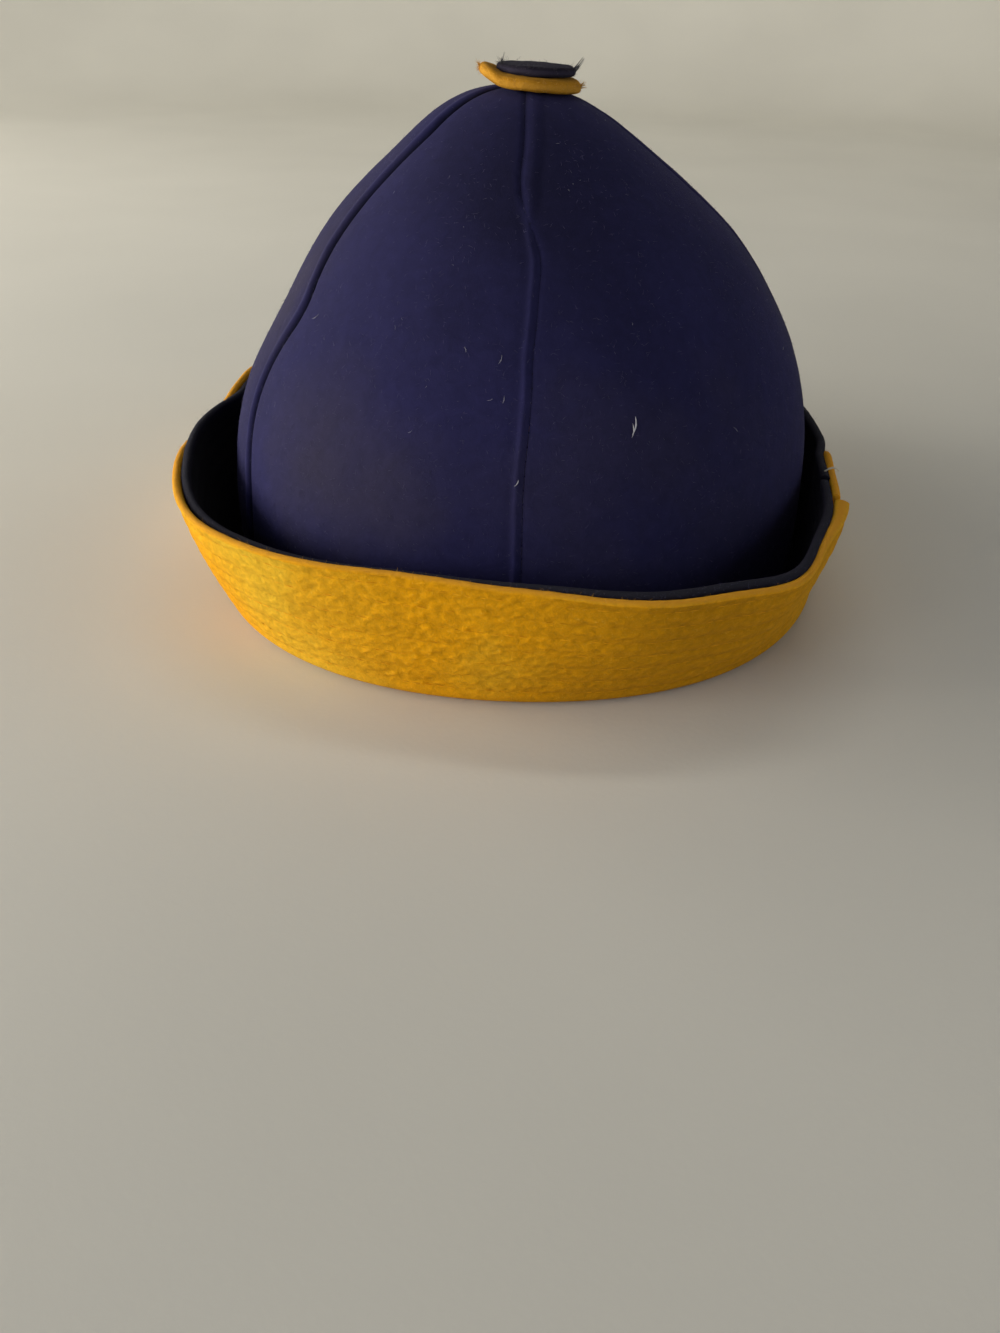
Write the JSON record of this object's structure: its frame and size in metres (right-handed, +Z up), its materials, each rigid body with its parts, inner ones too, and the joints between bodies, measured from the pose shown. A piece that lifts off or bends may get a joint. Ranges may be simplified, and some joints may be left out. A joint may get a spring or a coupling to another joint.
{
  "type": "beanie",
  "caption": "Felt beanie with a pointed crown of sewn gores, a turned-up stitched brim of two felt plies and a felt disc button on top.",
  "frame": {"origin": "on the surface the hat stands on, under the middle of its outline seen from above", "axes": "+Z up through the crown's point, -Y towards the front that the picture shows, +X towards the side where the brim's ends meet"},
  "size_m": [0.1976, 0.2254, 0.1401],
  "materials": {
    "purple_wool_felt": "matt pressed wool felt, dark blue-purple",
    "purple_wool_felt_facing": "matt pressed wool felt, dark purple, cut edge greyer",
    "gold_wool_felt": "matt pressed wool felt, golden yellow, with rows of stitches",
    "gold_wool_felt_disc": "matt pressed wool felt, golden yellow, die-cut disc",
    "purple_wool_felt_disc": "matt pressed wool felt, dark purple-grey, die-cut disc"
  },
  "bodies": {
    "root": {"crown_gore_1": "purple_wool_felt", "crown_gore_2": "purple_wool_felt", "crown_gore_3": "purple_wool_felt", "crown_gore_4": "purple_wool_felt", "crown_gore_5": "purple_wool_felt", "brim_facing": "purple_wool_felt_facing", "brim_shell": "gold_wool_felt", "button_base": "gold_wool_felt_disc", "button_top": "purple_wool_felt_disc"}
  },
  "joints": []
}
